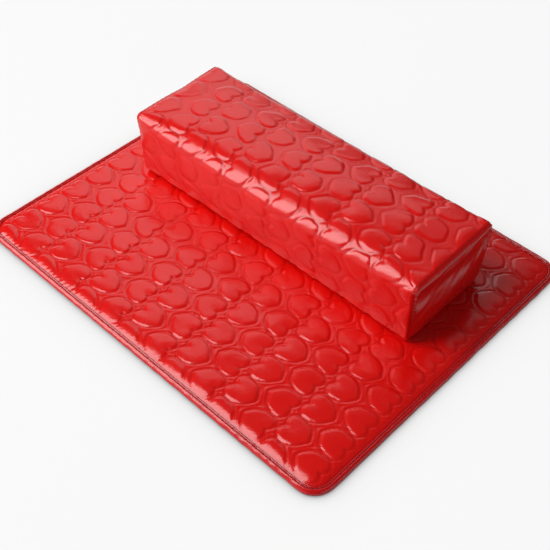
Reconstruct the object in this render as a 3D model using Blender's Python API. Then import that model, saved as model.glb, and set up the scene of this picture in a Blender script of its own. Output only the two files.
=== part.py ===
"""Manicure hand rest: a padded armrest cushion lying on a padded table mat.

Both are covered in glossy imitation leather with an embossed pattern of hearts.
The mat is a stack of backing, thin foam and cover sheet, pinched along its rim in a
sewn edge binding. The cushion is a foam block in a sleeve closed by two end panels.

Units are metres, +Z is up, and X runs along the mat and the cushion. The origin is
the centre of the mat's underside, on the table.
"""

import math

import bmesh
import bpy
from mathutils import Matrix, Vector

# Mat, over its binding
MAT_LENGTH = 0.385
MAT_WIDTH = 0.305
MAT_CORNER_RADIUS = 0.019

# Sheets and foam
BACKING_THICKNESS = 0.0008
COVER_THICKNESS = 0.0010
MAT_FOAM_THICKNESS = 0.0036
PINCHED_FOAM_THICKNESS = 0.0008

# Edge binding, folded over the rim of the three mat layers
BINDING_THICKNESS = 0.0008
BINDING_WIDTH = 0.0055
BINDING_FOLD_RADIUS = 0.0020

# Cover swelling up from the binding to the flat field, where its hearts are cut off
BINDING_TO_SWELL = 0.0004
SWELL_WIDTH = 0.0035
HEARTS_TO_SWELL = 0.0003

# Cushion, over its hearts, at the top; it tapers in all round to its base
CUSHION_LENGTH = 0.305
CUSHION_WIDTH = 0.1030
CUSHION_HEIGHT = 0.0640
CUSHION_TOP_RADIUS = 0.0080
CUSHION_BASE_RADIUS = 0.0040
BASE_TAPER = 0.0025
CUSHION_BACK_SHIFT = 0.0425
CUSHION_TURN = math.radians(1.0)

# Softness of the cushion: how far its faces swell, and the pull of the end seams
TOP_CROWN = 0.0020
SIDE_CROWN = 0.0014
END_CROWN = 0.0030
SEAM_PULL = 0.0005
SEAM_PULL_WIDTH = 0.0035

# Embossed hearts, lying on their side with the tip along +X or -X
HEART_LENGTH = 0.0245
HEART_WIDTH = 0.0246
HEART_LOBE_RADIUS = 0.0064
HEART_SIDE_BULGE = 0.0034
HEART_RELIEF = 0.0012
HEART_SLOPE_WIDTH = 0.0014
PAIR_PITCH = 0.0524
FACING_TIPS = 0.0247
ROW_PITCH = 0.0265
MAT_FIRST_HEART = (-0.0127, -0.0147)
CUSHION_FIRST_HEART = (0.0190, 0.0090)

# Spaces between sheets and round the foam block, and a pad's root below the sheet's face
SHEET_GAP = 0.0003
FOAM_GAP = 0.0006
HEART_ROOT = 0.0003

# Facets
CORNER_SEGMENTS = 4
FOLD_SEGMENTS = 2
LOBE_POINTS = 2
TOP_EDGE_SEGMENTS = 2
BASE_EDGE_SEGMENTS = 1
SWELL_STEPS = 2
MERGE_DISTANCE = 0.00001

# Heights that follow from the layers
PINCHED_BACKING_BOTTOM = BINDING_THICKNESS + SHEET_GAP
PINCHED_BACKING_TOP = PINCHED_BACKING_BOTTOM + BACKING_THICKNESS
PINCHED_FOAM_BOTTOM = PINCHED_BACKING_TOP + SHEET_GAP
PINCHED_FOAM_TOP = PINCHED_FOAM_BOTTOM + PINCHED_FOAM_THICKNESS
PINCHED_COVER_BOTTOM = PINCHED_FOAM_TOP + SHEET_GAP
PINCHED_COVER_TOP = PINCHED_COVER_BOTTOM + COVER_THICKNESS
BINDING_HEIGHT = PINCHED_COVER_TOP + SHEET_GAP + BINDING_THICKNESS
MAT_FOAM_BOTTOM = BACKING_THICKNESS + SHEET_GAP
MAT_FOAM_TOP = MAT_FOAM_BOTTOM + MAT_FOAM_THICKNESS
MAT_COVER_BOTTOM = MAT_FOAM_TOP + SHEET_GAP
MAT_COVER_TOP = MAT_COVER_BOTTOM + COVER_THICKNESS
CUSHION_REST_HEIGHT = MAT_COVER_TOP + HEART_RELIEF + SHEET_GAP

# Plan distances that follow from the binding: the layers stop where its fold turns round
LAYER_INSET = BINDING_FOLD_RADIUS
PINCHED_WIDTH = BINDING_WIDTH + BINDING_TO_SWELL - LAYER_INSET
FIELD_INSET = LAYER_INSET + PINCHED_WIDTH + SWELL_WIDTH

# Cushion section at the level between the hearts
SLEEVE_HALF_WIDTH = CUSHION_WIDTH / 2 - HEART_RELIEF
SLEEVE_HEIGHT = CUSHION_HEIGHT - HEART_RELIEF
PANEL_INNER_X = CUSHION_LENGTH / 2 - COVER_THICKNESS
SLEEVE_HALF_LENGTH = PANEL_INNER_X - SHEET_GAP


def clear_scene():
    for thing in list(bpy.data.objects):
        bpy.data.objects.remove(thing)


def collection_named(name):
    group = bpy.data.collections.new(name)
    bpy.context.scene.collection.children.link(group)
    return group


def principled(name, colour, roughness, coat=0.0):
    """Principled BSDF material, colour in linear RGB."""
    material = bpy.data.materials.new(name)
    material.use_nodes = True
    shader = material.node_tree.nodes["Principled BSDF"]
    shader.inputs["Base Color"].default_value = (*colour, 1.0)
    shader.inputs["Roughness"].default_value = roughness
    shader.inputs["Metallic"].default_value = 0.0
    shader.inputs["Coat Weight"].default_value = coat
    return material


def object_from(bm, name, group, material=None):
    """New object from a bmesh, which is freed."""
    mesh = bpy.data.meshes.new(name)
    bm.to_mesh(mesh)
    bm.free()
    if material:
        mesh.materials.append(material)
    thing = bpy.data.objects.new(name, mesh)
    group.objects.link(thing)
    return thing


def make_cutter(thing):
    thing.hide_render = True
    thing.display_type = "WIRE"


def boolean(thing, other, operation):
    modifier = thing.modifiers.new(operation.title(), "BOOLEAN")
    modifier.operation = operation
    modifier.object = other
    modifier.solver = "EXACT"
    return modifier


def shade_round(thing, angle=math.radians(35)):
    thing.data.shade_smooth()
    thing.data.set_sharp_from_angle(angle=angle)


# Hearts

def heart_outline(growth):
    """Counter-clockwise outline with its tip at +X, grown by a distance all round.

    Each half runs from the tip along a bulging side to the top of the lobe, then round
    the lobe to the notch.
    """
    lobe_x = HEART_LOBE_RADIUS - HEART_LENGTH / 2
    lobe_y = HEART_WIDTH / 2 - HEART_LOBE_RADIUS
    radius = HEART_LOBE_RADIUS + growth
    tip = Vector((HEART_LENGTH / 2, 0.0))
    lobe_top = Vector((lobe_x, lobe_y + HEART_LOBE_RADIUS))
    outward = Vector((lobe_top.y - tip.y, tip.x - lobe_top.x)).normalized()
    shoulder = (tip + lobe_top) / 2 + outward * (HEART_SIDE_BULGE + growth)
    half_angle = math.atan2(shoulder.y, tip.x - shoulder.x)
    notch_angle = math.pi + math.asin(lobe_y / radius)
    upper = [(shoulder.x, shoulder.y)]
    for step in range(LOBE_POINTS):
        angle = math.pi / 2 + (notch_angle - math.pi / 2) * step / LOBE_POINTS
        upper.append((lobe_x + radius * math.cos(angle), lobe_y + radius * math.sin(angle)))
    lower = [(x, -y) for x, y in reversed(upper)]
    grown_tip = (tip.x + growth / math.sin(half_angle), 0.0)
    notch = (lobe_x - math.sqrt(radius ** 2 - lobe_y ** 2), 0.0)
    return [grown_tip] + upper + [notch] + lower


def heart_places(first, x_limit, y_limit):
    """Centres and directions of every heart that reaches into the given half sizes.

    Hearts with their tip at +X and at -X stand in turns, half a row apart.
    """
    pairs = math.ceil(2 * x_limit / PAIR_PITCH) + 1
    rows = math.ceil(2 * y_limit / ROW_PITCH) + 1
    for pair in range(-pairs, pairs):
        for direction, x_shift, y_shift in ((1, 0.0, 0.0), (-1, FACING_TIPS, ROW_PITCH / 2)):
            for row in range(-rows, rows):
                x = first[0] + pair * PAIR_PITCH + x_shift
                y = first[1] + row * ROW_PITCH + y_shift
                if abs(x) < x_limit + HEART_LENGTH / 2 and abs(y) < y_limit + HEART_WIDTH / 2:
                    yield x, y, direction


def heart_pads(first, x_limit, y_limit, base):
    """Raised pads with sloping sides, rooted just below the sheet's face at base."""
    pads = bmesh.new()
    slope = HEART_SLOPE_WIDTH / HEART_RELIEF
    outline = heart_outline(HEART_ROOT * slope)
    faces = []
    for x, y, direction in heart_places(first, x_limit, y_limit):
        corners = [pads.verts.new((x + direction * px, y + direction * py, base - HEART_ROOT))
                   for px, py in outline]
        faces.append(pads.faces.new(corners))
    pads.normal_update()
    rise = HEART_RELIEF + HEART_ROOT
    bmesh.ops.inset_individual(pads, faces=faces, thickness=rise * slope, depth=rise,
                               use_even_offset=True)
    rims = [edge for edge in pads.edges if edge.is_boundary]
    bmesh.ops.holes_fill(pads, edges=rims, sides=0)
    bmesh.ops.recalc_face_normals(pads, faces=pads.faces)
    return pads


# Mat

def rounded_plate(length, width, radius, bottom, top):
    """Solid plate with round vertical corners, centred on the origin in plan."""
    plate = bmesh.new()
    middle = Matrix.Translation((0.0, 0.0, (bottom + top) / 2))
    size = Matrix.Diagonal((length, width, top - bottom, 1.0))
    bmesh.ops.create_cube(plate, size=1.0, matrix=middle @ size)
    upright = [edge for edge in plate.edges
               if abs(edge.verts[0].co.z - edge.verts[1].co.z) > (top - bottom) / 2]
    bmesh.ops.bevel(plate, geom=upright, offset=radius, segments=CORNER_SEGMENTS,
                    profile=0.5, affect="EDGES")
    return plate


def swell_face(plate, face, rise):
    """Flat margin, then a rounded step of the given rise to a flat field."""
    bmesh.ops.inset_individual(plate, faces=[face], thickness=PINCHED_WIDTH, depth=0.0,
                               use_even_offset=True)
    run_done = 0.0
    rise_done = 0.0
    for step in range(1, SWELL_STEPS + 1):
        angle = math.pi / 2 * step / SWELL_STEPS
        run = SWELL_WIDTH * (1 - math.cos(angle))
        height = rise * math.sin(angle)
        bmesh.ops.inset_individual(plate, faces=[face], thickness=run - run_done,
                                   depth=height - rise_done, use_even_offset=True)
        run_done = run
        rise_done = height


def mat_layer(margin_bottom, margin_top, field_bottom, field_top):
    """One layer of the mat, thin or shifted where the binding pinches its margin."""
    layer = rounded_plate(MAT_LENGTH - 2 * LAYER_INSET, MAT_WIDTH - 2 * LAYER_INSET,
                          MAT_CORNER_RADIUS - LAYER_INSET, margin_bottom, margin_top)
    layer.faces.ensure_lookup_table()
    upper = max(layer.faces, key=lambda face: face.calc_center_median().z)
    lower = min(layer.faces, key=lambda face: face.calc_center_median().z)
    swell_face(layer, upper, field_top - margin_top)
    swell_face(layer, lower, margin_bottom - field_bottom)
    return layer


def mat_backing(group, material):
    layer = mat_layer(PINCHED_BACKING_BOTTOM, PINCHED_BACKING_TOP, 0.0, BACKING_THICKNESS)
    return object_from(layer, "mat_backing", group, material)


def mat_foam(group, material):
    layer = mat_layer(PINCHED_FOAM_BOTTOM, PINCHED_FOAM_TOP, MAT_FOAM_BOTTOM, MAT_FOAM_TOP)
    return object_from(layer, "mat_foam", group, material)


def mat_cover(group, cutters, material):
    """Cover sheet with hearts raised from it, all cut off where the field ends."""
    layer = mat_layer(PINCHED_COVER_BOTTOM, PINCHED_COVER_TOP, MAT_COVER_BOTTOM, MAT_COVER_TOP)
    cover = object_from(layer, "mat_cover", group, material)
    inset = FIELD_INSET + HEARTS_TO_SWELL
    field_length = MAT_LENGTH - 2 * inset
    field_width = MAT_WIDTH - 2 * inset
    field = rounded_plate(field_length, field_width, MAT_CORNER_RADIUS - inset,
                          MAT_COVER_TOP - 2 * HEART_ROOT, MAT_COVER_TOP + 2 * HEART_RELIEF)
    field_limit = object_from(field, "mat_field_limit", cutters)
    pads = heart_pads(MAT_FIRST_HEART, field_length / 2, field_width / 2, MAT_COVER_TOP)
    hearts = object_from(pads, "mat_hearts", cutters)
    make_cutter(field_limit)
    make_cutter(hearts)
    boolean(hearts, field_limit, "INTERSECT")
    boolean(cover, hearts, "UNION")
    return cover


def arc(centre_x, centre_y, radius, start, end, segments):
    """Points of an arc between two angles in degrees, both ends included."""
    points = []
    for step in range(segments + 1):
        angle = math.radians(start + (end - start) * step / segments)
        points.append((centre_x + radius * math.cos(angle), centre_y + radius * math.sin(angle)))
    return points


def poly_curve(name, points, group):
    curve = bpy.data.curves.new(name, "CURVE")
    curve.dimensions = "2D"
    curve.fill_mode = "NONE"
    spline = curve.splines.new("POLY")
    spline.points.add(len(points) - 1)
    for point, (x, y) in zip(spline.points, points):
        point.co = (x, y, 0.0, 1.0)
    spline.use_cyclic_u = True
    thing = bpy.data.objects.new(name, curve)
    group.objects.link(thing)
    return thing


def binding_section():
    """Strip folded into a U that opens inwards: x is the depth from the mat's edge."""
    outer = BINDING_FOLD_RADIUS
    inner = BINDING_FOLD_RADIUS - BINDING_THICKNESS
    top = BINDING_HEIGHT
    wall = BINDING_THICKNESS
    points = [(BINDING_WIDTH, top)]
    points += arc(outer, top - outer, outer, 90, 180, FOLD_SEGMENTS)
    points += arc(outer, outer, outer, 180, 270, FOLD_SEGMENTS)
    points += [(BINDING_WIDTH, 0.0), (BINDING_WIDTH, wall)]
    points += arc(wall + inner, wall + inner, inner, 270, 180, FOLD_SEGMENTS)
    points += arc(wall + inner, top - wall - inner, inner, 180, 90, FOLD_SEGMENTS)
    points += [(BINDING_WIDTH, top - wall)]
    return points[::-1]


def mat_binding(group, cutters, material):
    """Binding strip swept round the mat's edge."""
    half_x = MAT_LENGTH / 2 - MAT_CORNER_RADIUS
    half_y = MAT_WIDTH / 2 - MAT_CORNER_RADIUS
    edge = arc(half_x, half_y, MAT_CORNER_RADIUS, 0, 90, CORNER_SEGMENTS)
    edge += arc(-half_x, half_y, MAT_CORNER_RADIUS, 90, 180, CORNER_SEGMENTS)
    edge += arc(-half_x, -half_y, MAT_CORNER_RADIUS, 180, 270, CORNER_SEGMENTS)
    edge += arc(half_x, -half_y, MAT_CORNER_RADIUS, 270, 360, CORNER_SEGMENTS)
    section = poly_curve("binding_section", binding_section(), cutters)
    make_cutter(section)
    binding = poly_curve("mat_edge_binding", edge, group)
    binding.data.bevel_mode = "OBJECT"
    binding.data.bevel_object = section
    binding.data.materials.append(material)
    return binding


# Cushion

def section_breaks():
    """Distances round the section, from the top's middle, where the sleeve bends."""
    flat_top = SLEEVE_HALF_WIDTH - CUSHION_TOP_RADIUS
    top_edge = CUSHION_TOP_RADIUS * math.pi / 2
    side = SLEEVE_HEIGHT - CUSHION_TOP_RADIUS - CUSHION_BASE_RADIUS
    base_edge = CUSHION_BASE_RADIUS * math.pi / 2
    base = SLEEVE_HALF_WIDTH - CUSHION_BASE_RADIUS
    breaks = [0.0]
    breaks += [flat_top + top_edge * step / TOP_EDGE_SEGMENTS
               for step in range(TOP_EDGE_SEGMENTS + 1)]
    side_end = flat_top + top_edge + side
    breaks += [side_end + base_edge * step / BASE_EDGE_SEGMENTS
               for step in range(BASE_EDGE_SEGMENTS + 1)]
    breaks.append(side_end + base_edge + base)
    return breaks


def section_point(distance, height):
    """Point (y, z) of the cushion's section, raised from the sleeve by a height."""
    side = math.copysign(1.0, distance)
    left = abs(distance)
    flat_top = SLEEVE_HALF_WIDTH - CUSHION_TOP_RADIUS
    top_edge = CUSHION_TOP_RADIUS * math.pi / 2
    wall = SLEEVE_HEIGHT - CUSHION_TOP_RADIUS - CUSHION_BASE_RADIUS
    base_edge = CUSHION_BASE_RADIUS * math.pi / 2
    if left <= flat_top:
        return side * left, SLEEVE_HEIGHT + height
    left -= flat_top
    if left <= top_edge:
        angle = left / CUSHION_TOP_RADIUS
        radius = CUSHION_TOP_RADIUS + height
        return (side * (flat_top + radius * math.sin(angle)),
                SLEEVE_HEIGHT - CUSHION_TOP_RADIUS + radius * math.cos(angle))
    left -= top_edge
    if left <= wall:
        return side * (SLEEVE_HALF_WIDTH + height), SLEEVE_HEIGHT - CUSHION_TOP_RADIUS - left
    left -= wall
    flat_base = SLEEVE_HALF_WIDTH - CUSHION_BASE_RADIUS
    if left <= base_edge:
        angle = left / CUSHION_BASE_RADIUS
        radius = CUSHION_BASE_RADIUS + height
        return (side * (flat_base + radius * math.cos(angle)),
                CUSHION_BASE_RADIUS - radius * math.sin(angle))
    left -= base_edge
    return side * (flat_base - left), -height


def soften(bm):
    """Taper the block to its base, swell its faces and draw its end seams in.

    Foam, sleeve and end panels all take this one change of form, so they stay nested.
    """
    half = CUSHION_LENGTH / 2
    for vert in bm.verts:
        along = vert.co.x / half
        across = vert.co.y / (CUSHION_WIDTH / 2)
        level = 2 * vert.co.z / CUSHION_HEIGHT - 1
        span = max(0.0, 1 - along ** 2)
        breadth = max(0.0, 1 - across ** 2)
        depth = max(0.0, 1 - level ** 2)
        pull_start = SLEEVE_HALF_LENGTH - SEAM_PULL_WIDTH
        pull = min(1.0, max(0.0, (abs(vert.co.x) - pull_start) / SEAM_PULL_WIDTH)) * SEAM_PULL
        taper = BASE_TAPER * (1 - level) / 2
        vert.co.x += END_CROWN * along ** 3 * breadth * depth - taper * along
        vert.co.y += (SIDE_CROWN * span * depth - pull - taper) * across
        vert.co.z += TOP_CROWN * span * breadth * (level + 1) / 2 - pull * level


def cut_across(bm, positions, axis, ends_only=False):
    """Cut lines through the mesh, or through its end faces, at positions on one axis."""
    direction = Vector((0.0, 0.0, 0.0))
    direction[axis] = 1.0
    for position in positions:
        faces = [face for face in bm.faces if abs(face.normal.x) > 0.9 or not ends_only]
        edges = {edge for face in faces for edge in face.edges}
        verts = {vert for face in faces for vert in face.verts}
        bmesh.ops.bisect_plane(bm, geom=list(verts) + list(edges) + faces, dist=MERGE_DISTANCE,
                               plane_co=direction * position, plane_no=direction)


def length_breaks():
    """Places along the cushion where its faces bend as they swell."""
    pull_start = SLEEVE_HALF_LENGTH - SEAM_PULL_WIDTH
    quarter = CUSHION_LENGTH / 4
    return [-pull_start, -quarter, 0.0, quarter, pull_start]


def embossed_strip(cutters):
    """Flat strip for the sleeve, its face at z = 0, with hearts on all but the base."""
    breaks = section_breaks()
    half_round = breaks[-1]
    strip = bmesh.new()
    middle = Matrix.Translation((0.0, 0.0, -COVER_THICKNESS / 2))
    size = Matrix.Diagonal((2 * SLEEVE_HALF_LENGTH, 2 * half_round, COVER_THICKNESS, 1.0))
    bmesh.ops.create_cube(strip, size=1.0, matrix=middle @ size)
    sheet = object_from(strip, "sleeve_sheet", cutters)
    base_edge_start = TOP_EDGE_SEGMENTS + 2
    x_limit = SLEEVE_HALF_LENGTH - SEAM_PULL_WIDTH
    y_limit = breaks[base_edge_start]
    limit = bmesh.new()
    size = Matrix.Diagonal((2 * x_limit, 2 * y_limit, 4 * HEART_RELIEF, 1.0))
    bmesh.ops.create_cube(limit, size=1.0, matrix=size)
    heart_limit = object_from(limit, "sleeve_heart_limit", cutters)
    pads = heart_pads(CUSHION_FIRST_HEART, x_limit, y_limit, 0.0)
    hearts = object_from(pads, "sleeve_hearts", cutters)
    boolean(hearts, heart_limit, "INTERSECT")
    boolean(sheet, hearts, "UNION")
    for thing in (sheet, heart_limit, hearts):
        make_cutter(thing)
    return sheet


def evaluated_bmesh(thing):
    """Bmesh of an object with its modifiers applied."""
    graph = bpy.context.evaluated_depsgraph_get()
    evaluated = thing.evaluated_get(graph)
    result = bmesh.new()
    result.from_mesh(evaluated.to_mesh())
    evaluated.to_mesh_clear()
    return result


def cushion_sleeve(group, cutters, material):
    """Embossed sheet wrapped round the block into a tube with open ends."""
    sleeve = evaluated_bmesh(embossed_strip(cutters))
    bmesh.ops.remove_doubles(sleeve, verts=sleeve.verts, dist=MERGE_DISTANCE)
    breaks = section_breaks()
    half_round = breaks[-1]
    bends = sorted({-value for value in breaks[1:-1]} | set(breaks[:-1]))
    cut_across(sleeve, bends, 1)
    cut_across(sleeve, length_breaks(), 0)
    joins = [face for face in sleeve.faces
             if all(abs(abs(vert.co.y) - half_round) < MERGE_DISTANCE for vert in face.verts)]
    bmesh.ops.delete(sleeve, geom=joins, context="FACES_ONLY")
    bmesh.ops.triangulate(sleeve, faces=sleeve.faces)
    for vert in sleeve.verts:
        y, z = section_point(vert.co.y, vert.co.z)
        vert.co = (vert.co.x, y, z)
    bmesh.ops.remove_doubles(sleeve, verts=sleeve.verts, dist=MERGE_DISTANCE)
    soften(sleeve)
    bmesh.ops.recalc_face_normals(sleeve, faces=sleeve.faces)
    return object_from(sleeve, "cushion_sleeve", group, material)


def block(inset, x_start, x_end):
    """Solid with the cushion's section, inset from the sleeve's face, between two ends."""
    breaks = section_breaks()
    distances = [-value for value in reversed(breaks[1:-1])] + breaks
    solid = bmesh.new()
    ring = []
    for distance in distances:
        y, z = section_point(distance, -inset)
        ring.append(solid.verts.new((x_start, y, z)))
    face = solid.faces.new(ring)
    extruded = bmesh.ops.extrude_face_region(solid, geom=[face], use_keep_orig=True)
    moved = [item for item in extruded["geom"] if isinstance(item, bmesh.types.BMVert)]
    bmesh.ops.translate(solid, verts=moved, vec=(x_end - x_start, 0.0, 0.0))
    cut_across(solid, [value for value in length_breaks() if x_start < value < x_end], 0)
    solid.normal_update()
    cut_across(solid, [-CUSHION_WIDTH / 4, 0.0, CUSHION_WIDTH / 4], 1, ends_only=True)
    cut_across(solid, [CUSHION_HEIGHT / 2], 2, ends_only=True)
    bmesh.ops.triangulate(solid, faces=solid.faces)
    soften(solid)
    bmesh.ops.recalc_face_normals(solid, faces=solid.faces)
    return solid


def cushion_foam(group, material):
    end = PANEL_INNER_X - FOAM_GAP
    solid = block(COVER_THICKNESS + FOAM_GAP, -end, end)
    return object_from(solid, "cushion_foam", group, material)


def cushion_end_panel(name, side, group, material):
    near, far = sorted((side * PANEL_INNER_X, side * CUSHION_LENGTH / 2))
    return object_from(block(0.0, near, far), name, group, material)


def place_cushion(pieces):
    """Lay the cushion across the back half of the mat."""
    place = bpy.data.objects.new("cushion_place", None)
    bpy.context.scene.collection.objects.link(place)
    place.location = (0.0, CUSHION_BACK_SHIFT, CUSHION_REST_HEIGHT)
    place.rotation_euler = (0.0, 0.0, CUSHION_TURN)
    for piece in pieces:
        piece.parent = place


def main():
    clear_scene()
    parts = collection_named("manicure_hand_rest")
    cutters = collection_named("cutters")
    patent = principled("red_patent_cover", (0.58, 0.010, 0.014), 0.16, coat=1.0)
    binding_red = principled("red_binding", (0.50, 0.010, 0.016), 0.24, coat=0.6)
    backing_red = principled("red_backing", (0.36, 0.012, 0.016), 0.60)
    foam_white = principled("white_foam", (0.80, 0.78, 0.72), 0.90)
    flat_pieces = [mat_backing(parts, backing_red), mat_foam(parts, foam_white)]
    flat_pieces.append(mat_cover(parts, cutters, patent))
    mat_binding(parts, cutters, binding_red)
    cushion = [
        cushion_foam(parts, foam_white),
        cushion_sleeve(parts, cutters, patent),
        cushion_end_panel("cushion_end_panel_left", -1, parts, patent),
        cushion_end_panel("cushion_end_panel_right", 1, parts, patent),
    ]
    place_cushion(cushion)
    for piece in flat_pieces + cushion:
        shade_round(piece)


main()
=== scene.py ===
"""Manicure hand rest: a cushion and a thin padded mat in embossed patent sheet.

The mat's cover, its sewn binding and the cushion's cover are modelled here over the
solids of the frame. Units are metres and +Z is up.
"""

import math

import bmesh
import bpy
import numpy as np
from mathutils import Matrix, Vector
from mathutils.geometry import interpolate_bezier
from mathutils.kdtree import KDTree


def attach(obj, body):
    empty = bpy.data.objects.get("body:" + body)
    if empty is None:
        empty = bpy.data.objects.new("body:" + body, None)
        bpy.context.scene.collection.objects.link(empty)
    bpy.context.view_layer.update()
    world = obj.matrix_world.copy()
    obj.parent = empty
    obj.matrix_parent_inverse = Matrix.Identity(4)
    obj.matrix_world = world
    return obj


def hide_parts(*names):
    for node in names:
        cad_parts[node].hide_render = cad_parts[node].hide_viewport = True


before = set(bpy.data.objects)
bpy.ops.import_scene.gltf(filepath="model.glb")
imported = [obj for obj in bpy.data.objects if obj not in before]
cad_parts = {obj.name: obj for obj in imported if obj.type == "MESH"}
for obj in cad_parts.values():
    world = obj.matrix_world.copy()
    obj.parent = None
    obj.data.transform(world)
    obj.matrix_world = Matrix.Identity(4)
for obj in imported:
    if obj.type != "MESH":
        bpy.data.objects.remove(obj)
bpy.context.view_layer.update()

# Mat
MAT_LENGTH = 0.385
MAT_WIDTH = 0.305
MAT_CORNER_RADIUS = 0.019
MAT_GROOVE_LEVEL = 0.0058
MAT_EDGE_LEVEL = 0.0042
MAT_COVER_BASE = 0.0036
MAT_GRID = 0.0012
MAT_ROLL = 0.0060
MAT_SHOULDER = 0.0005
MAT_SHOULDER_REACH = 0.0105
MAT_SWELL = 0.0003
MAT_SAG = 0.0008
MAT_SAG_REACH = 0.0080
MAT_HEARTS_FADE = 0.0090
MAT_PUCKER_RISE = 0.00022
MAT_PUCKER_PITCH = 0.0050
MAT_PUCKER_PLACE = 0.0014
MAT_PUCKER_REACH = 0.0018
COVER_TUCK = 0.0034

# Binding, folded over the mat's edge
BINDING_WIDTH = 0.0052
BINDING_HEIGHT = 0.0054
BINDING_GRID = 0.0012
BINDING_CORNER_STEPS = 20
BINDING_PULL = 0.00022
BINDING_WAVE = 0.0012
STITCH_INSET = 0.0036
STITCH_SUNK = 0.00065
STITCH_PITCH = 0.0034
STITCH_LENGTH = 0.0024
THREAD_WIDTH = 0.00055

# Cushion. A corner's roll is its breadth, depth and power.
CUSHION_LENGTH = 0.305
CUSHION_HALF_WIDTH = 0.0503
CUSHION_HEIGHT = 0.0628
CUSHION_REST_LEVEL = 0.0073
CUSHION_PLACE = Matrix.Translation((0.0, 0.0425, 0.0075)) @ Matrix.Rotation(math.radians(1.0), 4, "Z")
CUSHION_GRID = 0.0012
CORNER_STEPS = 16
FRONT_ROLL = (0.0230, 0.0120, 2.6)
BACK_ROLL = (0.0070, 0.0070, 2.0)
BASE_ROLL = (0.0075, 0.0065, 2.0)
END_ROLL = (0.0045, 0.0045, 2.0)
END_ROUND = 0.0028
END_RINGS = 22
TOP_CROWN = 0.0020
SIDE_CROWN = 0.0014
END_CROWN = 0.0030
BASE_TAPER = 0.0025
COVER_THICKNESS = 0.0015
FOAM_GRID = 0.0050
FOAM_END_RINGS = 5
END_INSETS = 3

# The cushion's form in the cloth simulation
FORM_VOXEL = 0.004
FORM_PRESSURE = 4.0
FORM_MOMENTS = 20
FORM_SWELL = 0.0016

# The cushion's seams, creases and end panels
SEAM_INSET = 0.0026
SEAM_DEPTH = 0.0009
SEAM_WIDTH = 0.0010
SEAM_FADE = 0.006
SEAM_FOLD_RISE = 0.00016
SEAM_FOLD_PITCH = 0.0041
SEAM_FOLD_REACH = 0.0035
CREASE_DEPTH = 0.0003
COVER_UNEVEN = 0.0003
PANEL_LEAN = 0.23
PANEL_WAVE = 0.0005
PANEL_FINE_WAVE = 0.0002
PANEL_VALLEY_LEVEL = 0.0450
PANEL_VALLEY_BREADTH = 0.0105
PANEL_VALLEY_DEPTH = 0.0027

# Embossed hearts, in pairs whose tips face each other
HEART_LENGTH = 0.0245
HEART_WIDTH = 0.0246
HEART_LOBE_RADIUS = 0.0064
TIP_HALF_ANGLE = math.radians(62)
TIP_HANDLE = 0.0095
LOBE_HANDLE = 0.011
PAIR_PITCH = 0.0524
FACING_TIPS = 0.0247
ROW_PITCH = 0.0265
MAT_FIRST_HEART = (-0.0127, -0.0147)
CUSHION_FIRST_HEART = (0.0190, 0.0090)
HEART_SPREAD = 0.0004
PAD_RISE = 0.00096
PAD_ROUND = 0.0018
PAD_DOME = 0.0003
PAD_DOME_REACH = 0.009
LAND_RISE = 0.0004
LAND_ROUND = 0.0012
RIDGE_RISE = 0.0005
RIDGE_PLACE = 0.0018
RIDGE_WIDTH = 0.0008
GROOVE_WIDTH = 0.0008
PUCKER_RISE = 0.00022
PUCKER_PITCH = 0.0023
PUCKER_REACH = 0.0024
UNEVEN_SHARE = 0.22
UNEVEN_LENGTH = 0.034
WARP_LENGTH = 0.022
FINE_WARP_LENGTH = 0.009
FINE_WARP_SHARE = 0.3
MAT_WARP = 0.0005
CUSHION_WARP = 0.0013
CUSHION_SOFTNESS = 1.6
CUSHION_RELIEF = 0.8
SIDE_RELIEF_LOSS = 0.25

# Painted shade: how far the film's colour is darkened towards the groove colour in the hearts' grooves, at
# the seams and in the creases
HEART_SHADE = 0.14
SEAM_SHADE = 0.85
CREASE_SHADE = 0.55

# Floor: share of its own paleness that the camera sees, and that glossy surfaces mirror
FLOOR_SEEN_PALE = 0.9
FLOOR_MIRRORED_PALE = 0.3


# Small helpers

def linear(hex_colour):
    """Linear RGBA of an sRGB hex colour."""
    parts = [int(hex_colour[i:i + 2], 16) / 255 for i in (0, 2, 4)]
    return tuple(c / 12.92 if c <= 0.04045 else ((c + 0.055) / 1.055) ** 2.4 for c in parts) + (1.0,)


def add(tree, kind, settings=None, links=None):
    """Node with its settings and its incoming links.

    A setting is an attribute of the node, or the value of an input by its name or number.
    """
    new = tree.nodes.new(kind)
    for name, value in (settings or {}).items():
        if isinstance(name, int) or name in new.inputs:
            new.inputs[name].default_value = value
        else:
            setattr(new, name, value)
    for name, source in (links or {}).items():
        tree.links.new(source, new.inputs[name])
    return new


def points_of(thing):
    """The mesh's points as rows of x, y and z."""
    flat = np.empty(len(thing.data.vertices) * 3)
    thing.data.vertices.foreach_get("co", flat)
    return flat.reshape(-1, 3)


def set_points(thing, points):
    thing.data.vertices.foreach_set("co", points.ravel())
    thing.data.update()


def object_from(bm, name, material=None):
    mesh = bpy.data.meshes.new(name)
    bm.to_mesh(mesh)
    bm.free()
    thing = bpy.data.objects.new(name, mesh)
    bpy.context.scene.collection.objects.link(thing)
    if material:
        mesh.materials.append(material)
    return thing


def bake_modifiers(thing):
    """Keep the shape that the modifiers give, and drop them."""
    graph = bpy.context.evaluated_depsgraph_get()
    mesh = bpy.data.meshes.new_from_object(thing.evaluated_get(graph))
    thing.modifiers.clear()
    thing.data = mesh


def write_attribute(thing, name, values):
    layer = thing.data.attributes.new(name, "FLOAT", "POINT")
    layer.data.foreach_set("value", values.astype(np.float32))


def ripple(x, y, length, seed):
    """Smooth irregular waves of about one wavelength, mostly from -1 to 1."""
    total = np.zeros_like(x)
    for turn in range(6):
        angle = 2.4 * turn + seed
        wave = length * (0.8 + 0.13 * turn)
        total += np.sin((x * math.cos(angle) + y * math.sin(angle)) * 2 * math.pi / wave + seed * turn)
    return total / 4


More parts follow.
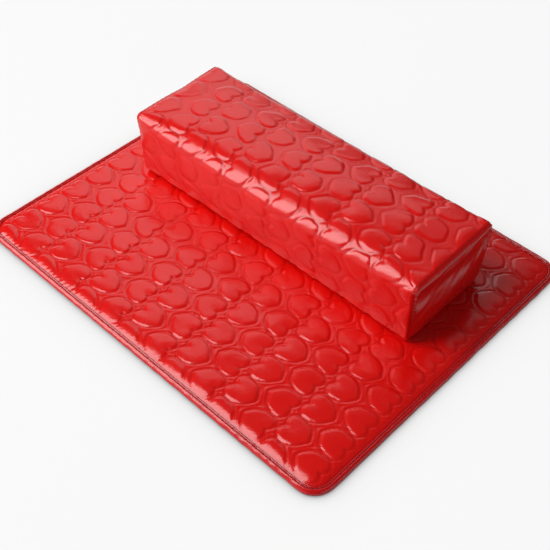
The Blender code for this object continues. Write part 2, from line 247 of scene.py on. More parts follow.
def bell(distance, width):
    """One at no distance, falling smoothly to nothing beyond about twice the width."""
    return np.exp(-(distance / width) ** 2)


# Embossing

def heart_half():
    """Upper half of a heart's outline, from its tip at +X to its notch."""
    tip = Vector((HEART_LENGTH / 2, 0.0))
    lobe = Vector((HEART_LOBE_RADIUS - HEART_LENGTH / 2, HEART_WIDTH / 2 - HEART_LOBE_RADIUS))
    top = lobe + Vector((0.0, HEART_LOBE_RADIUS))
    lean = Vector((-math.cos(TIP_HALF_ANGLE), math.sin(TIP_HALF_ANGLE)))
    side = interpolate_bezier(tip, tip + lean * TIP_HANDLE, top + Vector((LOBE_HANDLE, 0.0)), top, 14)
    outline = [(point.x, point.y) for point in side]
    notch_angle = math.pi + math.asin(lobe.y / HEART_LOBE_RADIUS)
    for angle in np.linspace(math.pi / 2, notch_angle, 12)[1:]:
        outline.append((lobe.x + HEART_LOBE_RADIUS * math.cos(angle),
                        lobe.y + HEART_LOBE_RADIUS * math.sin(angle)))
    outline[-1] = (outline[-1][0], 0.0)
    return outline


HEART_HALF = heart_half()


def heart_distance(x, y):
    """Distance from one heart's outline, negative inside it."""
    y = np.abs(y)
    nearest = np.full(x.shape, 1.0)
    inside = np.zeros(x.shape, bool)
    for (ax, ay), (bx, by) in zip(HEART_HALF[:-1], HEART_HALF[1:]):
        ex, ey = bx - ax, by - ay
        along = np.clip(((x - ax) * ex + (y - ay) * ey) / (ex * ex + ey * ey), 0, 1)
        nearest = np.minimum(nearest, np.hypot(x - ax - along * ex, y - ay - along * ey))
        if ey:
            inside ^= ((ay > y) != (by > y)) & (x < ax + (y - ay) * ex / ey)
    return np.where(inside, -nearest, nearest)


def pattern_distance(x, y, first):
    """Distance from the nearest heart of the repeating pattern."""
    nearest = np.full(x.shape, 1.0)
    for direction, shift_x, shift_y in ((1, 0.0, 0.0), (-1, FACING_TIPS, ROW_PITCH / 2)):
        u = x - first[0] - shift_x
        u = (u - np.round(u / PAIR_PITCH) * PAIR_PITCH) * direction
        v = y - first[1] - shift_y
        v = v - np.round(v / ROW_PITCH) * ROW_PITCH
        for row in (v, v - np.sign(v) * ROW_PITCH):
            nearest = np.minimum(nearest, heart_distance(u, row))
    return nearest


def embossing(x, y, first, warp, softness=1.0):
    """Height of the embossed sheet over its grooves, and how deep in a groove it is.

    Hearts are raised pads in a land that has a low ridge round each of them, and small
    puckers where the notches of two hearts face each other. The sheet is pulled unevenly
    over its foam, which shifts the pattern by about the warp. A higher softness gives the
    pads longer slopes and lower ridges between them.
    """
    shift_x, shift_y = (warp * (ripple(x, y, WARP_LENGTH, seed)
                                + FINE_WARP_SHARE * ripple(x, y, FINE_WARP_LENGTH, seed + 3.1))
                        for seed in (0.2, 1.7))
    gap = pattern_distance(x + shift_x, y + shift_y, first) - HEART_SPREAD
    depth_in = np.clip(-gap / (PAD_ROUND * softness), 0, 1)
    pad = PAD_RISE * np.sin(depth_in * math.pi / 2)
    pad += PAD_DOME * np.sin(np.clip(-gap / PAD_DOME_REACH, 0, 1) * math.pi / 2)
    land = LAND_RISE * np.sin(np.clip(gap / LAND_ROUND, 0, 1) * math.pi / 2)
    land += RIDGE_RISE / softness ** 2 * bell(gap - RIDGE_PLACE, RIDGE_WIDTH)
    facing = x - first[0] + (PAIR_PITCH - FACING_TIPS) / 2
    facing -= np.round(facing / PAIR_PITCH) * PAIR_PITCH
    beat = np.sin(2 * math.pi * y / PUCKER_PITCH + 2.2 * ripple(x, y, 0.011, 3.0))
    pucker = PUCKER_RISE * beat * bell(facing, PUCKER_REACH) * np.clip(gap / 0.001, 0, 1)
    uneven = 1 + UNEVEN_SHARE * ripple(x, y, UNEVEN_LENGTH, 2.9)
    return np.where(gap < 0, pad, land + pucker) * uneven, bell(gap, GROOVE_WIDTH)


# Materials

def patent_sheet(name, deep, bright, painted_shade_colour, roughness):
    """Patent imitation leather: PU film cast on smooth paper, then heat-embossed.

    The film is wet-looking and slightly uneven. Shade is painted into its colour in grooves,
    seams and creases, by the share that the attribute named groove holds.
    """
    material = bpy.data.materials.new(name)
    material.use_nodes = True
    tree = material.node_tree
    shader = tree.nodes["Principled BSDF"]
    place = add(tree, "ShaderNodeTexCoord").outputs["Object"]
    # Slow unevenness of the cast film, about 30 mm across
    cloud = add(tree, "ShaderNodeTexNoise", {"Scale": 33.0, "Detail": 2.0, "Roughness": 0.5},
                {"Vector": place})
    body = add(tree, "ShaderNodeMix", {"data_type": "RGBA"}, {0: cloud.outputs["Fac"]})
    body.inputs[6].default_value = linear(deep)
    body.inputs[7].default_value = linear(bright)
    # Painted shade: the colour darkens towards the groove colour by the groove attribute's share
    painted_shade_share = add(tree, "ShaderNodeAttribute", {"attribute_name": "groove"})
    colour = add(tree, "ShaderNodeMix", {"data_type": "RGBA"}, {0: painted_shade_share.outputs["Fac"]})
    tree.links.new(body.outputs[2], colour.inputs[6])
    colour.inputs[7].default_value = linear(painted_shade_colour)
    tree.links.new(colour.outputs[2], shader.inputs["Base Color"])
    # Orange peel of the film, about 1.6 mm across, and soft creases, about 5 mm
    peel = add(tree, "ShaderNodeTexNoise", {"Scale": 620.0, "Detail": 2.0}, {"Vector": place})
    crease = add(tree, "ShaderNodeTexNoise", {"Scale": 190.0, "Detail": 3.0, "Distortion": 0.6},
                 {"Vector": place})
    fine = add(tree, "ShaderNodeBump", {"Strength": 0.10, "Distance": 0.0004},
               {"Height": peel.outputs["Fac"]})
    soft = add(tree, "ShaderNodeBump", {"Strength": 0.13, "Distance": 0.0008},
               {"Height": crease.outputs["Fac"], "Normal": fine.outputs["Normal"]})
    tree.links.new(soft.outputs["Normal"], shader.inputs["Normal"])
    shader.inputs["Roughness"].default_value = roughness
    shader.inputs["IOR"].default_value = 1.5
    shader.inputs["Coat Weight"].default_value = 0.2
    shader.inputs["Coat Roughness"].default_value = 0.10
    return material


def thread(name, colour):
    """Spun polyester sewing thread, dyed: soft, with a faint sheen across the twist."""
    material = bpy.data.materials.new(name)
    material.use_nodes = True
    tree = material.node_tree
    shader = tree.nodes["Principled BSDF"]
    place = add(tree, "ShaderNodeTexCoord").outputs["Object"]
    twist = add(tree, "ShaderNodeTexNoise", {"Scale": 1800.0, "Detail": 1.0}, {"Vector": place})
    ramp = add(tree, "ShaderNodeValToRGB", {}, {"Fac": twist.outputs["Fac"]})
    ramp.color_ramp.elements[0].color = linear("7A0A0E")
    ramp.color_ramp.elements[1].color = linear(colour)
    tree.links.new(ramp.outputs["Color"], shader.inputs["Base Color"])
    shader.inputs["Roughness"].default_value = 0.55
    shader.inputs["Sheen Weight"].default_value = 0.3
    return material


def woven_backing(name):
    """Plain-woven backing cloth of the sheet: dull, with a 0.6 mm weave drawn at 1.2 mm."""
    material = bpy.data.materials.new(name)
    material.use_nodes = True
    tree = material.node_tree
    shader = tree.nodes["Principled BSDF"]
    place = add(tree, "ShaderNodeTexCoord").outputs["Object"]
    warp = add(tree, "ShaderNodeTexWave", {"bands_direction": "X", "Scale": 260.0}, {"Vector": place})
    weft = add(tree, "ShaderNodeTexWave", {"bands_direction": "Y", "Scale": 260.0}, {"Vector": place})
    weave = add(tree, "ShaderNodeMath", {"operation": "MULTIPLY"},
                {0: warp.outputs["Fac"], 1: weft.outputs["Fac"]})
    ramp = add(tree, "ShaderNodeValToRGB", {}, {"Fac": weave.outputs[0]})
    ramp.color_ramp.elements[0].color = linear("7C1218")
    ramp.color_ramp.elements[1].color = linear("A01C22")
    bump = add(tree, "ShaderNodeBump", {"Strength": 0.5, "Distance": 0.0003},
               {"Height": weave.outputs[0]})
    tree.links.new(ramp.outputs["Color"], shader.inputs["Base Color"])
    tree.links.new(bump.outputs["Normal"], shader.inputs["Normal"])
    shader.inputs["Roughness"].default_value = 0.8
    return material


def open_foam(name):
    """Polyurethane foam: off-white, matt, with open cells of about 0.5 mm drawn at 1 mm."""
    material = bpy.data.materials.new(name)
    material.use_nodes = True
    tree = material.node_tree
    shader = tree.nodes["Principled BSDF"]
    place = add(tree, "ShaderNodeTexCoord").outputs["Object"]
    cells = add(tree, "ShaderNodeTexVoronoi", {"Scale": 1000.0}, {"Vector": place})
    ramp = add(tree, "ShaderNodeValToRGB", {}, {"Fac": cells.outputs["Distance"]})
    ramp.color_ramp.elements[0].color = linear("D9D2BE")
    ramp.color_ramp.elements[1].color = linear("F1ECDD")
    bump = add(tree, "ShaderNodeBump", {"Strength": 0.6, "Distance": 0.0004},
               {"Height": cells.outputs["Distance"]})
    tree.links.new(ramp.outputs["Color"], shader.inputs["Base Color"])
    tree.links.new(bump.outputs["Normal"], shader.inputs["Normal"])
    shader.inputs["Roughness"].default_value = 0.9
    return material


# Mat

def edge_distance(x, y, inset=0.0):
    """Distance inwards from the mat's rounded outline."""
    radius = MAT_CORNER_RADIUS - inset
    qx = np.abs(x) - (MAT_LENGTH / 2 - inset - radius)
    qy = np.abs(y) - (MAT_WIDTH / 2 - inset - radius)
    outside = np.hypot(np.maximum(qx, 0), np.maximum(qy, 0))
    return radius - outside - np.minimum(np.maximum(qx, qy), 0)


def mat_cover(material):
    """Embossed sheet over the mat's foam, rolling down to the binding."""
    length = MAT_LENGTH - 2 * COVER_TUCK
    width = MAT_WIDTH - 2 * COVER_TUCK
    bm = bmesh.new()
    bmesh.ops.create_grid(bm, x_segments=round(length / MAT_GRID), y_segments=round(width / MAT_GRID),
                          size=0.5, matrix=Matrix.Diagonal((length, width, 1.0, 1.0)))
    middles = np.array([face.calc_center_median() for face in bm.faces])
    inwards = edge_distance(middles[:, 0], middles[:, 1])
    spare = [face for face, depth in zip(bm.faces, inwards) if depth < COVER_TUCK]
    bmesh.ops.delete(bm, geom=spare, context="FACES")
    rims = [edge for edge in bm.edges if edge.is_boundary]
    skirt = bmesh.ops.extrude_edge_only(bm, edges=rims)["geom"]
    low = [item for item in skirt if isinstance(item, bmesh.types.BMVert)]
    bmesh.ops.translate(bm, verts=low, vec=(0, 0, -1.0))
    bmesh.ops.holes_fill(bm, edges=[edge for edge in bm.edges if edge.is_boundary], sides=0)
    bmesh.ops.recalc_face_normals(bm, faces=bm.faces)
    cover = object_from(bm, "mat_cover_embossed", material)
    points = points_of(cover)
    x, y, z = points.T
    inwards = edge_distance(x, y)
    height, groove = embossing(x, y, MAT_FIRST_HEART, MAT_WARP)
    # The roll down to the binding is tight at the left end and wide at the right
    roll = np.clip((inwards - BINDING_WIDTH) / (MAT_ROLL * (0.85 + 0.6 * x / MAT_LENGTH)), 0, 1)
    roll = np.sqrt(1 - (1 - roll) ** 2)
    # The hearts rise out of the binding's seam gradually
    fade = np.sin(np.clip((inwards - BINDING_WIDTH) / MAT_HEARTS_FADE, 0, 1) * math.pi / 2)
    # Puckers along the binding's seam, stronger at the left end
    beat = np.sin(2 * math.pi * (x - y) / MAT_PUCKER_PITCH + 2.5 * ripple(x, y, 0.016, 0.5))
    calm = 0.65 - 0.7 * x / MAT_LENGTH
    near_seam = bell(inwards - BINDING_WIDTH - MAT_PUCKER_PLACE, MAT_PUCKER_REACH)
    pulls = MAT_PUCKER_RISE * calm * beat * near_seam
    pulls -= MAT_SHOULDER * roll * bell(inwards - BINDING_WIDTH, MAT_SHOULDER_REACH)
    uneven = MAT_SWELL * ripple(x, y, 0.060, 0.7)
    top = (MAT_EDGE_LEVEL + (MAT_GROOVE_LEVEL - MAT_EDGE_LEVEL) * roll + height * fade
           + pulls + uneven * roll)
    # The cushion's weight presses the mat down a little under it and close round it
    turned = CUSHION_PLACE.inverted()
    local = points @ np.array(turned.to_3x3()).T + np.array(turned.translation)
    clear_x = np.maximum(np.abs(local[:, 0]) - CUSHION_LENGTH / 2, 0)
    clear_y = np.maximum(np.abs(local[:, 1]) - CUSHION_HALF_WIDTH, 0)
    clear = np.hypot(clear_x, clear_y)
    top -= MAT_SAG * bell(clear, MAT_SAG_REACH)
    top = np.where(clear < 0.001, np.minimum(top, CUSHION_REST_LEVEL - MAT_SAG), top)
    points[:, 2] = np.where(z < -0.5, MAT_COVER_BASE, top)
    set_points(cover, points)
    # Painted shade in the hearts' grooves, and a painted dark line along the binding's seam
    write_attribute(cover, "groove", np.maximum(HEART_SHADE * groove * fade,
                                                SEAM_SHADE * bell(inwards - BINDING_WIDTH, GROOVE_WIDTH)))
    cover.data.shade_smooth()
    return cover


def binding_loop():
    """Section of the binding at the front edge: depth from the edge, then height.

    It goes round the strip's outer face from the mat to the base, and back inside it.
    """
    width, top = BINDING_WIDTH, BINDING_HEIGHT
    return [(width, top - 0.0010), (width - 0.0002, top - 0.0004), (width - 0.0007, top - 0.0001),
            (STITCH_INSET + 0.0004, top - 0.0004), (STITCH_INSET, top - 0.0009),
            (STITCH_INSET - 0.0004, top - 0.0004), (0.0026, top - 0.0001), (0.0021, top - 0.0003),
            (0.0014, top - 0.0007), (0.0007, top - 0.0012), (0.0002, top - 0.0020),
            (0.0, top * 0.45), (0.0002, 0.0011), (0.0008, 0.0003), (0.0018, 0.0), (width, 0.0),
            (width, 0.0007), (0.0022, 0.0008), (0.0011, 0.0016), (0.0011, top - 0.0026),
            (0.0024, top - 0.0015)]


def mat_binding(material):
    """Strip folded over the mat's edge, swept round it, with small pulls at the stitches."""
    half_x = MAT_LENGTH / 2 - MAT_CORNER_RADIUS
    half_y = MAT_WIDTH / 2 - MAT_CORNER_RADIUS
    bm = bmesh.new()
    ring = [bm.verts.new((-half_x, depth - MAT_WIDTH / 2, level)) for depth, level in binding_loop()]
    loop = [bm.edges.new(pair) for pair in zip(ring, ring[1:] + ring[:1])]
    centres = [(half_x, -half_y), (half_x, half_y), (-half_x, half_y), (-half_x, -half_y)]
    sides = [(2 * half_x, 0), (0, 2 * half_y), (-2 * half_x, 0), (0, -2 * half_y)]
    for (centre_x, centre_y), (run_x, run_y) in zip(centres, sides):
        before = set(bm.edges)
        made = bmesh.ops.extrude_edge_only(bm, edges=loop)["geom"]
        moved = [item for item in made if isinstance(item, bmesh.types.BMVert)]
        loop = [item for item in made if isinstance(item, bmesh.types.BMEdge)
                and item.verts[0] in moved and item.verts[1] in moved]
        bmesh.ops.translate(bm, verts=moved, vec=(run_x, run_y, 0))
        run = math.hypot(run_x, run_y)
        long_edges = [edge for edge in bm.edges if edge not in before and edge.calc_length() > 0.9 * run]
        bmesh.ops.subdivide_edges(bm, edges=long_edges, cuts=round(run / BINDING_GRID))
        turned = bmesh.ops.spin(bm, geom=loop, cent=(centre_x, centre_y, 0), axis=(0, 0, 1),
                                angle=math.pi / 2, steps=BINDING_CORNER_STEPS)["geom_last"]
        loop = [item for item in turned if isinstance(item, bmesh.types.BMEdge)]
    bmesh.ops.remove_doubles(bm, verts=bm.verts, dist=0.00001)
    bmesh.ops.recalc_face_normals(bm, faces=bm.faces)
    binding = object_from(bm, "mat_binding_sewn", material)
    points = points_of(binding)
    x, y, z = points.T
    inwards = edge_distance(x, y)
    pull = ripple(x, y, 0.0062, 2.1) * np.clip(z / BINDING_HEIGHT, 0, 1)
    points[:, 2] += BINDING_PULL * pull * np.clip(z / BINDING_HEIGHT, 0, 1)
    scale = 1 + BINDING_WAVE * ripple(x, y, 0.012, 0.4) * bell(inwards, 0.002)
    points[:, 0] *= scale
    points[:, 1] *= scale
    set_points(binding, points)
    # Painted shade along the stitch groove on the binding's top
    write_attribute(binding, "groove", bell(inwards - STITCH_INSET, 0.0005) * (z > 0.003))
    binding.data.shade_smooth()
    return binding


def mat_stitches(material):
    """Row of lockstitches round the binding."""
    half_x = MAT_LENGTH / 2 - MAT_CORNER_RADIUS
    half_y = MAT_WIDTH / 2 - MAT_CORNER_RADIUS
    radius = MAT_CORNER_RADIUS - STITCH_INSET
    quarter = radius * math.pi / 2
    bm = bmesh.new()
    bmesh.ops.create_uvsphere(bm, u_segments=6, v_segments=5, radius=0.5,
                              matrix=Matrix.Diagonal((STITCH_LENGTH, THREAD_WIDTH, THREAD_WIDTH, 1)))
    stitch = bpy.data.meshes.new("stitch")
    bm.to_mesh(stitch)
    bm.clear()
    sides = ((half_x, half_y, 2 * half_y, 0), (-half_x, half_y, 2 * half_x, 90),
             (-half_x, -half_y, 2 * half_y, 180), (half_x, -half_y, 2 * half_x, 270))
    for centre_x, centre_y, straight, start in sides:
        count = round((straight + quarter) / STITCH_PITCH)
        for step in range(count):
            run = (straight + quarter) * (step + 0.5) / count - straight
            angle = math.radians(start) + max(run, 0) / radius
            outward = Vector((math.cos(angle), math.sin(angle), 0))
            along = Vector((-outward.y, outward.x, 0))
            spot = Vector((centre_x, centre_y, BINDING_HEIGHT - STITCH_SUNK)) + outward * radius
            spot += along * min(run, 0)
            turn = Matrix((outward, along, Vector((0, 0, 1)))).transposed().to_4x4()
            place = Matrix.Translation(spot) @ turn @ Matrix.Rotation(math.pi / 2, 4, "Z")
            stitch.transform(place)
            bm.from_mesh(stitch)
            stitch.transform(place.inverted())
    bpy.data.meshes.remove(stitch)
    stitches = object_from(bm, "mat_stitches", material)
    stitches.data.shade_smooth()
    return stitches


# Cushion

def section_path(front, back):
    """Points (y, z) round the cushion's section, from the base's middle.

    Each corner is a quarter of a superellipse, round for a power of 2 and fuller above it.
    """
    rows = [(0.0, 0.0)]
    for side_y, side_z, start, corner in ((1, 0, -90, BASE_ROLL), (1, 1, 0, back), (-1, 1, 90, front),
                                          (-1, 0, 180, BASE_ROLL)):
        wide, high, power = corner
        y = side_y * (CUSHION_HALF_WIDTH - wide)
        z = CUSHION_HEIGHT - high if side_z else high
        for step in range(CORNER_STEPS + 1):
            angle = math.radians(start + 90 * step / CORNER_STEPS)
            rows.append((y + wide * side_y * abs(math.cos(angle)) ** (2 / power),
                         z + high * (2 * side_z - 1) * abs(math.sin(angle)) ** (2 / power)))
    rows.append(rows[0])
    return np.array(rows)


def soften(points):
    """The solid cushion's crowned faces, drawn-in ends and taper, in cushion coordinates.

    Its base sinks with the mat's foam.
    """
    x, y, z = points.T
    along = x / (CUSHION_LENGTH / 2)
    across = y / CUSHION_HALF_WIDTH
    level = 2 * z / CUSHION_HEIGHT - 1
    span, breadth, depth = (np.clip(1 - part ** 2, 0, 1) for part in (along, across, level))
    taper = BASE_TAPER * (1 - level) / 2
    x += END_CROWN * along ** 3 * breadth * depth - taper * along
    y += (SIDE_CROWN * span * depth - taper) * across
    z += TOP_CROWN * span * breadth * (level + 1) / 2 - MAT_SAG * (1 - level) / 2
    return np.stack((x, y, z), axis=1)


def swelling():
    """How the foam block moves when its cover is blown up: points of it and their moves."""
    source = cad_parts["cushion_foam"]
    bm = bmesh.new()
    bm.from_mesh(source.data)
    bmesh.ops.remove_doubles(bm, verts=bm.verts, dist=0.00001)
    bmesh.ops.transform(bm, matrix=CUSHION_PLACE.inverted(), verts=bm.verts)
    form = object_from(bm, "cushion_form")
    remesh = form.modifiers.new("Remesh", "REMESH")
    remesh.mode = "VOXEL"
    remesh.voxel_size = FORM_VOXEL
    bake_modifiers(form)
    before = points_of(form)
    moves = np.zeros_like(before)
    cloth = form.modifiers.new("Cloth", "CLOTH")
    cloth.settings.use_pressure = True
    cloth.settings.uniform_pressure_force = FORM_PRESSURE
    cloth.settings.effector_weights.gravity = 0.0
    for moment in range(1, FORM_MOMENTS + 1):
        bpy.context.scene.frame_set(moment)
    bake_modifiers(form)
    bpy.context.scene.frame_set(1)
    moves = points_of(form) - before
    moves *= min(1.0, FORM_SWELL / np.linalg.norm(moves, axis=1).max())
    bpy.data.objects.remove(form)
    return before, moves


def swell(points, before, moves):
    """Move points as the nearest parts of the simulated form move."""
    tree = KDTree(len(before))
    for index, point in enumerate(before):
        tree.insert(point, index)
    tree.balance()
    for index, point in enumerate(points):
        near = tree.find_n(point, 6)
        weights = np.array([1 / (distance + 0.001) ** 2 for _, _, distance in near])
        share = weights / weights.sum()
        points[index] += share @ moves[[found for _, found, _ in near]]
    return points


def wrapped_block(name, material, grid, rings, inset):
    """Closed block of the cushion's shape, made from a sheet wrapped round it and two ends.

    The ends lie END_INSETS times as deep as the inset, because the end panels have dents.
    Point attributes hold the run round the section and, for the ends, a one. The section
    is blunt along most of the block and sharp at its ends.
    """
    sharp = section_path(END_ROLL, END_ROLL)
    blunt = section_path(FRONT_ROLL, BACK_ROLL)
    around = np.concatenate([[0.0], np.cumsum(np.hypot(*np.diff(blunt, axis=0).T))])
    girth = around[-1]
    half = CUSHION_LENGTH / 2 - END_INSETS * inset
    bm = bmesh.new()
    bmesh.ops.create_grid(bm, x_segments=round(2 * half / grid), y_segments=round(girth / grid),
                          size=0.5, matrix=Matrix.Diagonal((2 * half, girth, 1.0, 1.0)))
    run_layer = bm.verts.layers.float.new("run")
    end_layer = bm.verts.layers.float.new("end")
    runs = np.array([vert.co.y for vert in bm.verts]) + girth / 2
    bluntness = 1 - np.abs([vert.co.x / half for vert in bm.verts]) ** 8
    across, upward = (np.interp(runs, around, sharp[:, part]) * (1 - bluntness)
                      + np.interp(runs, around, blunt[:, part]) * bluntness for part in (0, 1))
    into_end = np.clip(np.abs([vert.co.x for vert in bm.verts]) - half + END_ROUND, 0, END_ROUND)
    drawn_in = inset + END_ROUND - np.sqrt(END_ROUND ** 2 - into_end ** 2)
    across *= 1 - drawn_in / CUSHION_HALF_WIDTH
    upward = drawn_in + upward * (1 - 2 * drawn_in / CUSHION_HEIGHT)
    for vert, run, y, z in zip(bm.verts, runs, across, upward):
        vert[run_layer] = run
        vert.co = (vert.co.x, y, z)
    bmesh.ops.remove_doubles(bm, verts=bm.verts, dist=0.00002)
    middle_z = CUSHION_HEIGHT / 2
    spine = CUSHION_HALF_WIDTH - middle_z
    for side in (-1, 1):
        rim = [edge for edge in bm.edges if edge.is_boundary and edge.verts[0].co.x * side > 0]
        for ring in range(rings):
            made = bmesh.ops.extrude_edge_only(bm, edges=rim)["geom"]
            moved = {item for item in made if isinstance(item, bmesh.types.BMVert)}
            rim = [item for item in made if isinstance(item, bmesh.types.BMEdge)
                   and item.verts[0] in moved and item.verts[1] in moved]
            for vert in moved:
                goal = Vector((vert.co.x, max(-spine, min(spine, vert.co.y)), middle_z))
                vert.co += (goal - vert.co) / (rings - ring + 0.4)
                vert[end_layer] = 1.0
        bmesh.ops.holes_fill(bm, edges=rim, sides=0)
    bmesh.ops.recalc_face_normals(bm, faces=bm.faces)
    return object_from(bm, name, material), girth


def cushion_cover(material, before, moves):
    """Sleeve wrapped round the block and closed by two plain end panels."""
    cover, girth = wrapped_block("cushion_cover", material, CUSHION_GRID, END_RINGS, 0.0)
    set_points(cover, swell(soften(points_of(cover)), before, moves))
    emboss_cushion(cover, girth)
    return cover


def cushion_block(material, before, moves):
    """Foam block under the cover, pressed into the same shape."""
    block, _ = wrapped_block("cushion_foam_block", material, FOAM_GRID, FOAM_END_RINGS,
                             COVER_THICKNESS)
    to_frame(block, swell(soften(points_of(block)), before, moves))
    block.data.shade_smooth()
    return block


def to_frame(thing, points):
    """Put points in cushion coordinates where the cushion lies, and drop the helper attributes."""
    place = np.array(CUSHION_PLACE)
    set_points(thing, points @ place[:3, :3].T + place[:3, 3])
    for name in ("run", "end"):
        thing.data.attributes.remove(thing.data.attributes[name])


def emboss_cushion(cover, girth):
    """Hearts on the sleeve, seams and folds at its ends, soft dents in the end panels."""
    mesh = cover.data
    points = points_of(cover)
    count = len(points)
    run = np.empty(count, np.float32)
    mesh.attributes["run"].data.foreach_get("value", run)
    end = np.empty(count, np.float32)
    mesh.attributes["end"].data.foreach_get("value", end)
    normals = np.empty(count * 3)
    mesh.vertices.foreach_get("normal", normals)
    normals = normals.reshape(-1, 3)
    x, y, z = points.T
    sheet_y = girth / 2 - run
    height, groove = embossing(x, sheet_y, CUSHION_FIRST_HEART, CUSHION_WARP, CUSHION_SOFTNESS)
    half = CUSHION_LENGTH / 2
    to_seam = half - np.abs(x)
    on_side = np.abs(normals[:, 1]) * (1 - end)
    strength = (1 - end) * np.clip((to_seam - SEAM_INSET) / SEAM_FADE, 0, 1)
    strength *= 1 - SIDE_RELIEF_LOSS * on_side
    rise = CUSHION_RELIEF * (height - LAND_RISE) * strength
    # The sheet creases along the hearts' outlines where it bends over the front edge
    bent = np.clip(-2.2 * normals[:, 1] * normals[:, 2], 0, 1)
    rise -= CREASE_DEPTH * bent * groove * strength
    seam = bell(to_seam - SEAM_INSET, SEAM_WIDTH) * (1 - end)
    fold = np.sin(2 * math.pi * run / SEAM_FOLD_PITCH + 2.5 * ripple(run, x, 0.017, 0.6))
    rise += SEAM_FOLD_RISE * fold * bell(to_seam - SEAM_INSET, SEAM_FOLD_REACH) * (1 - end)
    rise -= SEAM_DEPTH * seam
    # Long dents that run along the end panel and rise a little to the back, and a broad valley
    lean = z - PANEL_LEAN * y
    dents = PANEL_WAVE * ripple(lean, 0.3 * y, 0.024, 1.1)
    dents += PANEL_FINE_WAVE * ripple(lean, 0.5 * y, 0.009, 2.3)
    dents -= PANEL_VALLEY_DEPTH * bell(z - PANEL_VALLEY_LEVEL, PANEL_VALLEY_BREADTH)
    rise += dents * end
    rise += COVER_UNEVEN * ripple(x, y + z, 0.045, 0.9)
    points += normals * rise[:, None]
    points[:, 2] = np.maximum(points[:, 2], -MAT_SAG)
    to_frame(cover, points)
    # Painted shade in the hearts' grooves, darker in the creases over the front edge, and a painted dark
    # line at the seams
    shade = (HEART_SHADE * (1 - on_side) + CREASE_SHADE * bent) * groove * strength
    write_attribute(cover, "groove", np.maximum(shade, SEAM_SHADE * seam))
    mesh.shade_smooth()


# Studio

def studio():
    """Plain pale floor, soft lamps and a dim even world that looks nearly white to the camera.

    The floor is lit paper. Most of what the camera sees of it is its own paleness, with a painted
    soft shadow near the object, and glossy surfaces mirror a share of that.
    """
    bm = bmesh.new()
    bmesh.ops.create_grid(bm, x_segments=8, y_segments=8, size=2.0)
    floor_paint = bpy.data.materials.new("matt_white_paper")
    floor_paint.use_nodes = True
    tree = floor_paint.node_tree
    shader = tree.nodes["Principled BSDF"]
    shader.inputs["Base Color"].default_value = linear("C4C4C4")
    shader.inputs["Roughness"].default_value = 0.9
    # Painted shadow: the floor's own glow darkens by ambient occlusion near the object
    painted_contact_shadow = add(tree, "ShaderNodeAmbientOcclusion", {"samples": 8, "Distance": 0.035})
    painted_contact_shadow.inputs["Color"].default_value = linear("FFFFFF")
    glow = add(tree, "ShaderNodeEmission", {"Strength": 1.0}, {"Color": painted_contact_shadow.outputs["Color"]})
    path = add(tree, "ShaderNodeLightPath")
    mirrored = add(tree, "ShaderNodeMath", {"operation": "MULTIPLY", 1: FLOOR_MIRRORED_PALE},
                   {0: path.outputs["Is Glossy Ray"]})
    share = add(tree, "ShaderNodeMath", {"operation": "MULTIPLY_ADD", 1: FLOOR_SEEN_PALE},
                {0: path.outputs["Is Camera Ray"], 2: mirrored.outputs[0]})
    mix = add(tree, "ShaderNodeMixShader", {}, {0: share.outputs[0]})
    tree.links.new(shader.outputs[0], mix.inputs[1])
    tree.links.new(glow.outputs[0], mix.inputs[2])
    tree.links.new(mix.outputs[0], tree.nodes["Material Output"].inputs["Surface"])
    floor = object_from(bm, "studio_floor", floor_paint)
    floor.location.z = -0.0002

    world = bpy.data.worlds.new("studio_world")
    world.use_nodes = True
    bpy.context.scene.world = world
    tree = world.node_tree
    room = tree.nodes["Background"]
    room.inputs["Color"].default_value = linear("FFFFFF")
    room.inputs["Strength"].default_value = 0.08
    seen = add(tree, "ShaderNodeBackground", {"Color": linear("FAFAFA"), "Strength": 1.0})
    path = add(tree, "ShaderNodeLightPath")
    mix = add(tree, "ShaderNodeMixShader", {}, {0: path.outputs["Is Camera Ray"]})
    tree.links.new(room.outputs[0], mix.inputs[1])
    tree.links.new(seen.outputs[0], mix.inputs[2])
    tree.links.new(mix.outputs[0], tree.nodes["World Output"].inputs["Surface"])

    lamp("window_lamp", (-0.70, -0.72, 0.97), (46, 0, -44), 0.80, 1.75, 23)
    lamp("back_lamp", (-1.20, 1.05, 1.20), (0, 0, -8), 1.2, 1.15, 4.8)
    lamp("back_wall_lamp", (-1.90, 1.60, 0.55), (77.5, 0, -130), 2.6, 1.1, 8.0)
    lamp("back_side_lamp", (-0.36, 1.20, 1.20), (0, 0, 0), 0.5, 0.8, 0.42)
    lamp("front_lamp", (-0.30, -1.75, 0.50), (74, 0, -10), 2.4, 0.8, 3.8)
    lamp("side_lamp", (1.65, 0.25, 0.45), (75, 0, 98.6), 2.0, 0.8, 3.8)


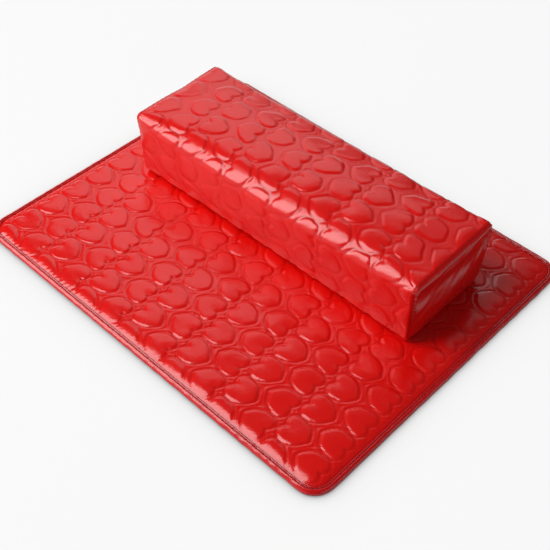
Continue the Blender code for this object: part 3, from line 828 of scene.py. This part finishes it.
def lamp(name, spot, turn, width, height, power):
    """Rectangular soft lamp, facing down before it is turned by degrees about X, Y and Z."""
    light = bpy.data.lights.new(name, "AREA")
    light.shape = "RECTANGLE"
    light.size = width
    light.size_y = height
    light.energy = power
    holder = bpy.data.objects.new(name, light)
    bpy.context.scene.collection.objects.link(holder)
    holder.location = spot
    holder.rotation_euler = [math.radians(angle) for angle in turn]


def camera():
    """Camera at the photograph's angle: 43.5 degrees round, 47 degrees up."""
    azimuth, elevation, roll = (math.radians(value) for value in (43.51, 46.99, 0.39))
    back = Vector((math.sin(azimuth) * math.cos(elevation), -math.cos(azimuth) * math.cos(elevation),
                   math.sin(elevation)))
    right = Vector((0, 0, 1)).cross(back).normalized()
    up = back.cross(right)
    right, up = (right * math.cos(roll) + up * math.sin(roll), up * math.cos(roll) - right * math.sin(roll))
    lens = bpy.data.cameras.new("camera")
    lens.lens = 64.9
    lens.sensor_width = 36.0
    lens.clip_start = 0.01
    eye = bpy.data.objects.new("camera", lens)
    bpy.context.scene.collection.objects.link(eye)
    turn = Matrix((right, up, back)).transposed().to_4x4()
    eye.matrix_world = Matrix.Translation(Vector((0.02257, -0.01586, 0.0)) + back * 0.82229) @ turn
    bpy.context.scene.camera = eye


def main():
    # The third colour of each sheet is its painted shade in grooves, seams and creases
    patent = patent_sheet("red_patent_imitation_leather", "DC0A06", "E90F0A", "A00406", 0.22)
    binding_sheet = patent_sheet("red_patent_binding_strip", "CC0A0E", "DC0E14", "8A0408", 0.26)
    cover = mat_cover(patent)
    binding = mat_binding(binding_sheet)
    stitches = mat_stitches(thread("red_sewing_thread", "C41A20"))
    foam = open_foam("white_open_foam")
    form = swelling()
    cushion = cushion_cover(patent, *form)
    block = cushion_block(foam, *form)
    for piece, nodes, slot in ((cover, ("mat_cover",), "red_patent_cover"),
                               (binding, ("mat_edge_binding",), "red_binding"),
                               (stitches, (), "red_binding"),
                               (cushion, ("cushion_sleeve", "cushion_end_panel_left",
                                          "cushion_end_panel_right"), "red_patent_cover"),
                               (block, ("cushion_foam",), "white_foam")):
        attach(piece, "root")
        if nodes:
            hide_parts(*nodes)
    for node, material in (("mat_backing", woven_backing("red_woven_backing")), ("mat_foam", foam)):
        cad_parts[node].data.materials.clear()
        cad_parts[node].data.materials.append(material)
    studio()
    camera()
    bpy.context.scene.view_settings.view_transform = "Standard"


main()
